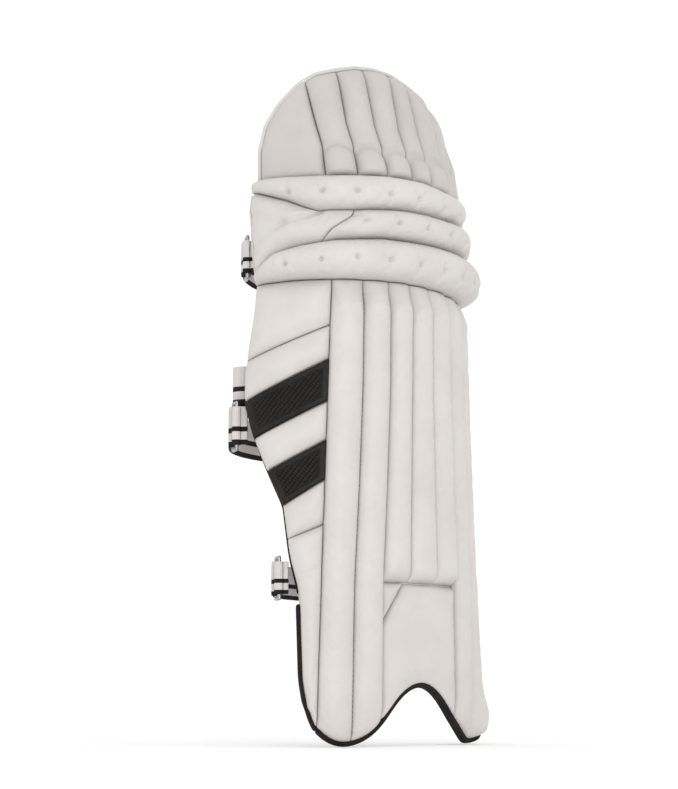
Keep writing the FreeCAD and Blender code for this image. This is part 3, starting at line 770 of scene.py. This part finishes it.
def wing_front(height, seed):
    def front(s, z, d):
        end = np.minimum(d[2], d[3])
        h = height * (0.12 + 0.88 * near_edge(d[0], np.minimum(12, 0.45 * (d[0] + d[1]))))
        h = h * (0.60 + 0.40 * soft_edge(d[1], np.minimum(9, 0.45 * (d[0] + d[1]))))
        h = h - groove(line_distance(s, z, ANKLE_CREASE), 1.8, 2.6)
        h = h * (0.34 + 0.66 * soft_edge(end, 13)) + 0.35 * ripple(s, z, 30, 22, seed) * near_edge(end, 9)
        return np.maximum(h, 0.5)
    return front


CELL_W, CELL_H, BORDER = 2.3, 4.3, 6.2


def net_front(s, z, d):
    """Flat tape border round a net of long pointed cells in leaning columns."""
    side = np.minimum(np.minimum(d[0] - 1.5, d[1]), np.minimum(d[2], d[3]))
    inside = smooth(side, BORDER - 0.5, BORDER + 0.5)
    u = (s + 0.30 * z) / CELL_W
    col = np.floor(u)
    v = z / CELL_H + 0.5 * (col % 2)
    fu, fv = np.abs(u - col - 0.5) * 2, np.abs(v - np.floor(v) - 0.5) * 2
    bar = np.maximum(smooth(fu, 0.52, 0.9), smooth(fv + 0.55 * (1 - fu), 0.62, 1.0))
    tape = 4.9 - 0.7 * groove(np.abs(side - BORDER), 0.7, 1.0) + 0.1 * ripple(s, z, 8, 8, 2)
    netted = 4.0 + 1.5 * bar + 0.7 * near_edge(side - BORDER, 9)
    h = tape * (1 - inside) + netted * inside
    outer = np.minimum(d[0], np.minimum(d[2], d[3]))
    return h * (0.45 + 0.55 * near_edge(outer, 2.2))


for k, node in enumerate(wing_names):
    top, bottom = panel_line(node, True), panel_line(node, False)
    if k == 0:
        top = lambda s: LOW_BOT(s) - 0.4
    if k == len(wing_names) - 1:
        bottom = WING_FOOT
    lo, hi = (lambda z: wing_left(z) + 0.2), (lambda z: wing_right(z) - 0.05)
    if "mesh" in node:
        ob = pad(node + "_net", lo, hi, bottom, top, net_front, -0.4, [NET], step=0.45, level=0)
        put(ob, "wing", [node])
    else:
        ob = pad(node + "_pad", lo, hi, bottom, top, wing_front(8.6, 5.0 * k), -0.4, [WHITE], step=3.0)
        put(ob, "wing", [node], 0.6)

# ---- knee --------------------------------------------------------------------------
MID_LOW = by_table([-165, -158, -147, -140, -118, -102, -90, -48, 19, 70, 130],
                   [439, 441, 451, 457, 463, 466, 468, 471, 471, 470, 469])
UP_MID = by_table([-170, -160, -134, -118, -108, -77, -29, 17, 70, 130],
                  [518, 515, 506, 499, 496, 497, 499.5, 498, 499, 500])
UP_TOP = by_table([-170, -159, -101, -42, -12, 15, 45, 130], [527, 527.5, 529, 531, 530, 526, 524, 526])
KNEE_EDGE = by_table([431, 439, 455, 480, 500, 525, 534], [-161, -163, -167, -172.5, -175, -171.5, -168])
KNEE_RIGHT = const(127.5)


def knee_left(z):
    return KNEE_EDGE(z) + 2.2


def dimpled(h, s, z, spots, depth=5.6, wide=1.7):
    """Tufting: a pinhole in a shallow hollow with short folds running out of it."""
    for i, (a, b) in enumerate(spots):
        ds, dz = s - a, z - b
        r = np.hypot(ds, dz)
        folds = 0.7 * np.cos(3.0 * np.arctan2(dz, ds) + 1.3 * i) * np.exp(-((r - 6.0) / 4.0) ** 2)
        h = h - depth * np.exp(-(r / wide) ** 2) - 1.9 * np.exp(-(r / 7.5) ** 2) - folds
    return h


def roll_front(thick, spots, seed, left_cap=22.0, fade=0.0, left=0.25):
    """fade: share of the height lost towards the inner side of the knee.
    left: share of the height kept at the left end."""
    def front(s, z, d):
        span = (d[2] + d[3]) / 2
        dome = 0.34 + 0.66 * soft_edge(np.minimum(d[2], d[3]), 0.9 * span, 0.10)
        ends = (left + (1 - left) * near_edge(d[0], left_cap)) * (0.35 + 0.65 * near_edge(d[1], 20))
        ends = ends * (1 - fade * smooth(s, 25, 105))
        h = thick * dome * ends + 0.5 * ripple(s, z, 34, 15, seed) * near_edge(np.minimum(d[2], d[3]), 8)
        return np.maximum(dimpled(h, s, z, spots), 1.0)
    return front


SPLIT = by_table([464, 466, 477, 490, 499], [-104, -102, -94, -77, -74])
bend(pad("knee_roll_lower", knee_left, KNEE_RIGHT, LOW_BOT, MID_LOW,
         roll_front(26.0, DIMPLES["lower"], 21.0, 40.0), -0.5, [WHITE], step=1.3), 0,
     ["knee_lower_cover", "knee_lower_foam"], 0.85)
bend(pad("knee_roll_mid", SPLIT, KNEE_RIGHT, MID_LOW,
         UP_MID, roll_front(23.5, DIMPLES["mid"], 23.0, 40.0, 0.55, 0.55), -0.5, [WHITE],
         step=1.3), 1, ["knee_mid_cover", "knee_mid_foam"], 0.85)
bend(pad("knee_roll_upper", knee_left, KNEE_RIGHT, UP_MID, UP_TOP,
         roll_front(22.5, DIMPLES["upper"], 27.0, 45.0, 0.95), -0.5, [WHITE], step=1.3), 2,
     ["knee_upper_cover", "knee_upper_foam"], 0.85)

STRIP_TOP = [(-174, 466), (-165, 467), (-161, 469), (-149, 477), (-136, 484), (-115, 491), (-104, 494.5)]
WEDGE_LINE = [(-176, 497), (-169, 496), (-159, 493), (-149, 488), (-136, 484)]


def side_front(s, z, d):
    h = 13.0 * (0.25 + 0.75 * near_edge(d[0], 22)) * (0.45 + 0.55 * near_edge(np.minimum(d[2], d[3]), 14))
    h = h * (0.88 + 0.12 * near_edge(d[1], 5))
    h = h - groove(line_distance(s, z, STRIP_TOP), 2.4, 4.4)
    h = h - groove(line_distance(s, z, WEDGE_LINE), 2.2, 4.0)
    return np.maximum(h + 0.3 * ripple(s, z, 24, 16, 31.0), 0.8)


bend(pad("knee_side_panel", knee_left, SPLIT, MID_LOW,
         UP_MID, side_front, -0.5, [WHITE], step=2.2), 1,
     ["knee_side_strip"], 0.6)

KNEE_ROWS = [("knee_lower", LOW_BOT, MID_LOW), ("knee_mid", MID_LOW, UP_MID), ("knee_upper", UP_MID, UP_TOP)]
for k, (name, bottom, top) in enumerate(KNEE_ROWS):
    ob = shell(name + "_shell", knee_left, KNEE_RIGHT, lambda s, b=bottom: b(s) + 0.2,
               lambda s, t=top: t(s) - 0.2, 5.0)
    bend(ob, k, [name + "_board", name + "_lining"])
    zs = np.arange(float(bottom(-168)), float(top(-168)) + 0.1, 2.5)
    path = np.stack([KNEE_EDGE(zs), zs], -1)
    bend(sweep(name + "_edge", path, oval(5.0, 15.0, -1.2, -3.5, 12), WHITE_SIDE), k)

# ---- top hat ---------------------------------------------------------------------
arch = resample([(-167, high("knee_upper_board").z), (-164, 559), (-152, 583), (-133, 605), (-109, 626), (-90, 637),
                 (-68, 643), (-49, 647), (-30, 648), (-9, 645.5), (19, 635), (40, 622), (58, 603), (70, 583),
                 (77, 560), (80, 527)], 3.0)
top_i = int(np.argmax(arch[:, 1]))
left_arch, right_arch = arch[:top_i + 1], arch[top_i:]
PIPE = 4.6


def arch_z(s):
    return np.interp(s, arch[:, 0], arch[:, 1])


def arch_left(z):
    o = np.argsort(left_arch[:, 1])
    return np.interp(z, left_arch[o, 1], left_arch[o, 0])


def arch_right(z):
    o = np.argsort(right_arch[:, 1])
    return np.interp(z, right_arch[o, 1], right_arch[o, 0])


HAT_BOW_Z = [528, 582, 640]
HAT_BOW = [(3.5, 2, 2), (5, 2, 6.5), (6, 0.5, 5), (4, -3, 4), (-1, -8, -6), (0, -6, -6), (0, -8, -8)]
hat_cad = Cad("hat_roll_covers")
spans = [hat_cad.span(560.0, i) for i in range(len(hat_cad.parts))]
cuts = [spans[0][0]] + [(a[1] + b[0]) / 2 for a, b in zip(spans, spans[1:])] + [spans[-1][1]]
hat_seams = [by_table(HAT_BOW_Z, [c + b for b in bow]) for c, bow in zip(cuts, HAT_BOW)]
CREASE = by_table([-160, -100, 45, 100], [561, 560, 553, 551])


def hat_front(height, seed):
    """A short cushion at the foot of each roll, then the roll itself above the crease."""
    def front(s, z, d):
        side = np.minimum(d[0], d[1])
        u = d[0] / (d[0] + d[1] + 1e-9)
        up = z - CREASE(s) + 7.0 * (2 * u - 1) ** 2
        h = height * (1 - 0.5 * smooth(s, -10, 80)) * (0.40 + 0.60 * soft_edge(side, 13.0))
        h = h * np.where(up < 0, 0.36 + 0.64 * near_edge(-up, 12),
                         0.36 + 0.34 * smooth(up, 0, 9) + 0.22 * smooth(up, 9, 40))
        h = h * (0.18 + 0.82 * near_edge(d[3], 17)) * (0.30 + 0.70 * near_edge(d[2], 7))
        return np.maximum(h + 0.35 * ripple(s, z, 20, 26, seed), 0.8)
    return front


# The hat rolls and hat side pads use the hat leather, which is painted darker as painted shade.
for i, (a, b) in enumerate(zip(hat_seams, hat_seams[1:])):
    bend(pad("hat_roll_%d" % (i + 1), a, b, UP_TOP,
             lambda s: arch_z(s) - PIPE, hat_front(14.0, 41.0 + i), -0.5, [HAT_WHITE_PAINTED_SHADE], step=2.4), 3,
         ["hat_roll_covers", "hat_roll_foam"], 0.8)


def hat_side_front(flip):
    def front(s, z, d):
        near, arch_d = (d[1], d[0]) if not flip else (d[0], d[1])
        h = 7.4 * (0.12 + 0.88 * near_edge(near, 9)) * (0.30 + 0.70 * near_edge(arch_d, 14))
        return np.maximum(h * (0.35 + 0.65 * near_edge(d[2], 9)) + 0.35 * ripple(s, z, 30, 30, 51.0), 0.8)
    return front


s_a, s_b = float(hat_seams[0](600.0)), float(hat_seams[-1](590.0))
bend(pad("hat_side_pad_outer", lambda z: arch_left(z) + PIPE, hat_seams[0], UP_TOP,
         const(float(arch_z(s_a - PIPE))), hat_side_front(False), -0.5, [HAT_WHITE_PAINTED_SHADE]), 3,
     ["hat_side_outer"], 0.5)
bend(pad("hat_side_pad_inner", hat_seams[-1], lambda z: arch_right(z) - PIPE, UP_TOP,
         const(float(arch_z(s_b + PIPE))), hat_side_front(True), -0.5, [HAT_WHITE_PAINTED_SHADE], step=2.2), 3,
     ["hat_side_inner"], 0.5)
bend(shell("hat_shell", lambda z: arch_left(z) + 1.5, lambda z: arch_right(z) - 1.5,
           lambda s: UP_TOP(s) + 0.2, const(float(arch[:, 1].max()) - 2.0), 5.0), 3,
     ["hat_board", "hat_lining"])
PIPE_PROFILE = [(0.2, -9.0), (-0.1, -4), (0.1, 1.0), (1.2, 3.4), (2.8, 3.9), (4.2, 3.0), (5.0, 1.2),
                (5.0, -10.2), (4.0, -11.6), (1.4, -11.6)]
PIPE_PROFILE = [(-d, t) for d, t in PIPE_PROFILE]
bend(sweep("hat_piping_tape", arch, PIPE_PROFILE, WHITE_SIDE), 3, ["hat_piping"])

# ---- pads on the inside ------------------------------------------------------------
bol = Cad("shin_bolsters")
for i in range(2):
    c = bol.co[bol.parts[i]]
    z0, z1 = c[:, 2].min(), c[:, 2].max()
    a, b = bol.span(0.5 * (z0 + z1), i)
    lay = -11.7
    inner = lambda s, z, d: lay + 0.0 * s
    deep = lambda s, z, d: lay - 1.0 - 10.6 * near_edge(np.minimum(d[0], d[1]), 13) * near_edge(
        np.minimum(d[2], d[3]), 16) - 0.3 * ripple(s, z, 15, 30, 61.0)
    put(pad("shin_bolster_%d" % (i + 1), const(a), const(b), const(z0), const(z1), inner, deep,
            [LINING, LINING, LINING]), "shin", ["shin_bolsters"], 0.7)
cup = Cad("knee_cup")
z0, z1 = cup.co[:, 2].min(), cup.co[:, 2].max()
put(pad("knee_cup_pad", const(cup.s.min()), const(cup.s.max()), const(z0), const(z1),
        lambda s, z, d: -11.9 + 0 * s,
        lambda s, z, d: -12.6 - 8.0 * near_edge(np.minimum(d[0], d[1]), 16) * near_edge(
            np.minimum(d[2], d[3]), 9), [LINING, LINING, LINING]), "knee_mid", ["knee_cup"], 0.7)

# ---- straps ------------------------------------------------------------------------
JOINT = {j["name"]: Vector(j["pos_m"]) / MM for j in frame["joints"]}
WEB, ROD = 2.6, 1.8
STRIPES = [(0.0, 0.13, 1), (0.13, 0.34, 0), (0.34, 0.47, 1), (0.47, 1.0, 0)]


def ellipse_of(node, clear_of):
    """Middle ellipse of a strap: centre and half axes."""
    co = frame["nodes"][node].data.vertices
    p = np.array([v.co for v in co]) / MM
    p = p[np.hypot(p[:, 0] - clear_of.x, p[:, 1] - clear_of.y) > 8.0]
    m = np.stack([p[:, 0] ** 2, p[:, 1] ** 2, p[:, 0], p[:, 1]], -1)
    A, B, C, D = np.linalg.lstsq(m, np.ones(len(p)), rcond=None)[0]
    cx, cy = -C / (2 * A), -D / (2 * B)
    k = 1 + A * cx * cx + B * cy * cy
    return cx, cy, math.sqrt(k / A), math.sqrt(k / B)


def arc_path(e, q0, q1, grow=0.0, n=60):
    q = np.radians(np.linspace(q0, q1, n))
    return np.stack([e[0] + (e[2] + grow) * np.cos(q), e[1] + (e[3] + grow) * np.sin(q)], -1)


def angle_span(node, e, clear_of=None):
    p = np.array([v.co for v in frame["nodes"][node].data.vertices]) / MM
    if clear_of is not None:
        p = p[np.hypot(p[:, 0] - clear_of.x, p[:, 1] - clear_of.y) > 5.0]
    q = np.degrees(np.arctan2((p[:, 1] - e[1]) / e[3], (p[:, 0] - e[0]) / e[2]))
    return q.max(), q.min()


def ribbon(name, path, z0, z1, thick, mats, stripes=None, sag=0.0, level=1, puff=0.0):
    """Upright band along an (x, y) path; stripes are (from, to, material) shares of its height."""
    path = np.asarray(path, float)
    d = np.gradient(path, axis=0)
    d /= np.linalg.norm(d, axis=1)[:, None]
    nrm = np.stack([-d[:, 1], d[:, 0]], -1)
    cuts = sorted({0.0, 0.02, 0.5, 0.98, 1.0} | {c for a, b, _ in (stripes or []) for c in (a, b)}
                  | {c + e for a, b, _ in (stripes or []) for c in (a, b)
                     for e in (-0.008, 0.008) if 0 < c < 1})
    n, m = len(path), len(cuts)
    run = np.concatenate([[0], np.cumsum(np.linalg.norm(np.diff(path, axis=0), axis=1))])
    verts, uv = [], []
    for side in (1, -1):
        for i in range(n):
            drop = sag * math.sin(math.pi * i / (n - 1))
            for c in cuts:
                h = thick / 2 * (0.45 if c in (0.0, 1.0) else 1.0) + puff * math.sin(math.pi * c)
                x, y = path[i] + nrm[i] * h * side
                verts.append((x, y, z0 + (z1 - z0) * c - drop))
                uv.append((run[i], (z1 - z0) * c))
    faces, kinds = [], []

    def kind(c):
        for a, b, which in (stripes or []):
            if a <= c <= b:
                return which
        return 0
    for side in range(2):
        o = side * n * m
        for i in range(n - 1):
            for j in range(m - 1):
                f = (o + i * m + j, o + (i + 1) * m + j, o + (i + 1) * m + j + 1, o + i * m + j + 1)
                faces.append(f if side else f[::-1])
                kinds.append(kind((cuts[j] + cuts[j + 1]) / 2))
    o = n * m
    for i in range(n - 1):
        faces.append((i * m, (i + 1) * m, o + (i + 1) * m, o + i * m))
        faces.append((i * m + m - 1, o + i * m + m - 1, o + (i + 1) * m + m - 1, (i + 1) * m + m - 1))
        kinds += [kind(0.01), kind(0.99)]
    for j in range(m - 1):
        faces.append((j, o + j, o + j + 1, j + 1))
        e = (n - 1) * m
        faces.append((e + j, e + j + 1, o + e + j + 1, o + e + j))
        kinds += [kind((cuts[j] + cuts[j + 1]) / 2)] * 2
    return add_object(name, verts, faces, mats, kinds, uv, level)


def eye_path(p, start, r, turn, n=18):
    """Points round a bar from angle start, turning by turn degrees."""
    q = np.radians(start + np.linspace(0, turn, n))
    return np.stack([p.x + r * np.cos(q), p.y + r * np.sin(q)], -1)


LOOPS = {}
for name in ("knee", "calf", "ankle"):
    open_p = JOINT["strap_%s_open" % name]
    z0, z1 = low("strap_" + name).z, high("strap_" + name).z
    e = ellipse_of("strap_" + name, open_p)
    LOOPS[name] = e
    q1, q0 = angle_span("strap_" + name, e, open_p)
    t1, t0 = angle_span("hook_tab_" + name, e)
    fold = (q0 + t1) / 2                  # the hook tab peels about this line
    band = arc_path(e, q1 - 1.5, fold + 0.15, 0.0, 80)
    grip = ROD + 0.35 + WEB / 2
    first = math.degrees(math.atan2(band[0][1] - open_p.y, band[0][0] - open_p.x))
    eye = eye_path(open_p, first + 300, grip, -300, 22)
    body = "strap_%s_body" % name
    put(ribbon("strap_%s_web" % name, np.concatenate([eye[:-1], band]), z0, z1, WEB,
               [WEB_WHITE, WEB_BLACK], STRIPES), body, ["strap_" + name])
    put(ribbon("hook_tab_%s_web" % name, arc_path(e, fold - 0.15, t0, 0.0, 20), z0 + 2, z1 - 2, WEB,
               [WEB_BLACK, WEB_BLACK]), "tab_%s_body" % name, ["hook_tab_" + name])
    g1, g0 = angle_span("tongue_" + name, e)
    put(ribbon("tongue_%s_pad" % name, arc_path(e, g1, g0, -4.1, 60), low("tongue_" + name).z,
               high("tongue_" + name).z, 4.2, [WEB_GREY], None, 0, 1, 0.15),
        "knee_lower" if name == "knee" else "shin", ["tongue_" + name], 0.5)

# the calf strap's loose end: (along the face from the wing's edge, out of the face)
FREE_END_LOW, FREE_END_HIGH = 319.0, 355.0
TURN_BACK = [(16, -14.5), (3, -14.5), (-13, -12), (-22, -14), (-24, -21), (-17, -27), (-2, -29)]
z = 336.0
curl = curve_through([pos(wing_left(z) + a, z, b)[:2] for a, b in TURN_BACK], 60)
put(ribbon("strap_calf_free_end", curl, FREE_END_LOW, FREE_END_HIGH, WEB, [WEB_WHITE, WEB_BLACK], STRIPES),
    "wing")

for name, node, body in (("knee", "ring_tab_knee", "knee_lower"), ("calf", "ring_tabs_wing", "wing"),
                         ("ankle", "ring_tabs_wing", "wing")):
    p = JOINT["ring_%s_turn" % name]
    z0, z1 = low("strap_" + name).z + 1, high("strap_" + name).z - 1
    pts = np.array([v.co for v in frame["nodes"][node].data.vertices]) / MM
    pts = pts[(pts[:, 2] > z0 - 3) & (pts[:, 2] < z1 + 3)]
    far = np.hypot(pts[:, 0] - p.x, pts[:, 1] - p.y)
    root = pts[far > far.max() - 3.0].mean(0)
    away = np.array([p.x, p.y]) - root[:2]
    away /= np.linalg.norm(away)
    grip = ROD + 0.35 + WEB / 2
    a0 = math.degrees(math.atan2(-away[1], -away[0]))
    eye = eye_path(p, a0 + 20, grip, 320, 22)
    line = np.linspace(root[:2], np.array([p.x, p.y]) - away * (grip + 1.5), 12)
    put(ribbon("ring_tab_%s_web" % name, np.concatenate([line, eye]), z0, z1, WEB,
               [WEB_WHITE, WEB_BLACK], STRIPES), body, [node])
    frame["nodes"]["ring_" + name].data.materials.clear()
    frame["nodes"]["ring_" + name].data.materials.append(METAL)

canes = frame["nodes"]["rib_canes"]
canes.data.materials.clear()
canes.data.materials.append(CANE)

# ---- thread ------------------------------------------------------------------------
zs = np.linspace(foot_z(seams[1](40.0)) + 8, 424, 120)
put(stitches("seam_thread", [np.stack([seams[1](zs), zs, 0.46 * rib_height(zs, 0.0, False) + 0.1], -1)],
             THREAD, 4.6, 2.7, 0.6), "shin")

# ---- filling: each cover is blown up a little over its padding by cloth simulation -----------
def fill_covers(frames=18, scale=10.0, cap=2.6):
    scene = bpy.context.scene
    sims = []
    for ob, loose in PADS:
        me = ob.data.copy()
        start = np.empty(len(me.vertices) * 3, np.float32)
        me.vertices.foreach_get("co", start)
        me.vertices.foreach_set("co", start * scale)
        sim = bpy.data.objects.new(ob.name + "_filling", me)
        scene.collection.objects.link(sim)
        sim.vertex_groups.new(name="sewn").add([int(i) for i in np.flatnonzero(~loose)], 1.0, "REPLACE")
        cloth = sim.modifiers.new("Cloth", "CLOTH")
        st = cloth.settings
        st.quality, st.mass = 4, 0.02
        st.tension_stiffness = st.compression_stiffness = 12.0
        st.shear_stiffness, st.bending_stiffness = 5.0, 0.4
        st.shrink_min = -0.012
        st.use_pressure, st.uniform_pressure_force = True, 4.0
        st.vertex_group_mass, st.pin_stiffness = "sewn", 1.0
        st.effector_weights.gravity = 0.0
        cloth.collision_settings.use_collision = False
        cloth.point_cache.frame_start, cloth.point_cache.frame_end = 1, frames
        sims.append((ob, sim, start.reshape(-1, 3)))
    for f in range(1, frames + 1):
        scene.frame_set(f)
    deps = bpy.context.evaluated_depsgraph_get()
    for ob, sim, start in sims:
        end = np.empty(start.size, np.float32)
        sim.evaluated_get(deps).data.vertices.foreach_get("co", end)
        move = end.reshape(-1, 3) / scale - start
        far = np.linalg.norm(move, axis=1, keepdims=True)
        move *= np.minimum(1.0, cap * MM / np.maximum(far, 1e-9))
        ob.data.vertices.foreach_set("co", (start + move).ravel())
        ob.data.update()
    for _, sim, _ in sims:
        me = sim.data
        bpy.data.objects.remove(sim)
        bpy.data.meshes.remove(me)
    scene.frame_set(1)


fill_covers()

gusset = pad("hinge_gusset", lambda z: wing_right(z) - 4.0, lambda z: wing_right(z) + 4.0, const(24.0),
             const(428.0), lambda s, z, d: -1.6 + 0 * s, -4.6, [WHITE_SIDE, LINING, WHITE_SIDE], step=2.0)
p = JOINT["wing_fold"]
out = np.array([-math.cos(wing_right(200.0) / radius(200.0)), -math.sin(wing_right(200.0) / radius(200.0))])
a, b = np.array(p[:2]) - 8.0 * out, np.array(p[:2]) + 8.0 * out
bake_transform(gusset)

for ob, k in COLLECTED:
    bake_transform(ob)

# ---- floor, light and camera ---------------------------------------------------------
me = bpy.data.meshes.new("floor")
me.from_pydata([(-40, -40, 0), (40, -40, 0), (40, 40, 0), (-40, 40, 0)], [], [(0, 1, 2, 3)])
m, nodes, links, b = new_material("floor_pale", (0.97, 0.97, 0.97), 0.9)
me.materials.append(m)
floor = bpy.data.objects.new("floor", me)
bpy.context.scene.collection.objects.link(floor)

world = bpy.data.worlds.new("studio")
world.use_nodes = True
bpy.context.scene.world = world
sky = world.node_tree.nodes["Background"]
sky.inputs["Color"].default_value = (1, 1, 1, 1)
sky.inputs["Strength"].default_value = 1.05
bpy.context.scene.view_settings.view_transform = "Standard"


def area_light(name, at, aim, size, watts):
    data = bpy.data.lights.new(name, "AREA")
    data.shape, data.size, data.energy = "SQUARE", size, watts
    ob = bpy.data.objects.new(name, data)
    ob.location = at
    ob.rotation_euler = (Vector(aim) - Vector(at)).to_track_quat("-Z", "Y").to_euler()
    bpy.context.scene.collection.objects.link(ob)


area_light("key", (-1.3, -1.9, 0.42), (0, 0, 0.25), 0.9, 12)

cam = bpy.data.cameras.new("camera")
cam.lens, cam.sensor_width, cam.sensor_fit = 36 * 2050.63 / 789, 36, "AUTO"
cam.shift_y = 0.1
cam.clip_start, cam.clip_end = 0.05, 100
eye = bpy.data.objects.new("camera", cam)
turn = math.radians(-43.86)
AWAY, ASIDE, EYE_HEIGHT = 2.00142, 0.0056, 0.04244
eye.location = (math.sin(turn) * AWAY + math.cos(turn) * ASIDE,
                -math.cos(turn) * AWAY + math.sin(turn) * ASIDE, EYE_HEIGHT)
eye.rotation_euler = (math.radians(96.31), 0, turn)
bpy.context.scene.collection.objects.link(eye)
bpy.context.scene.camera = eye
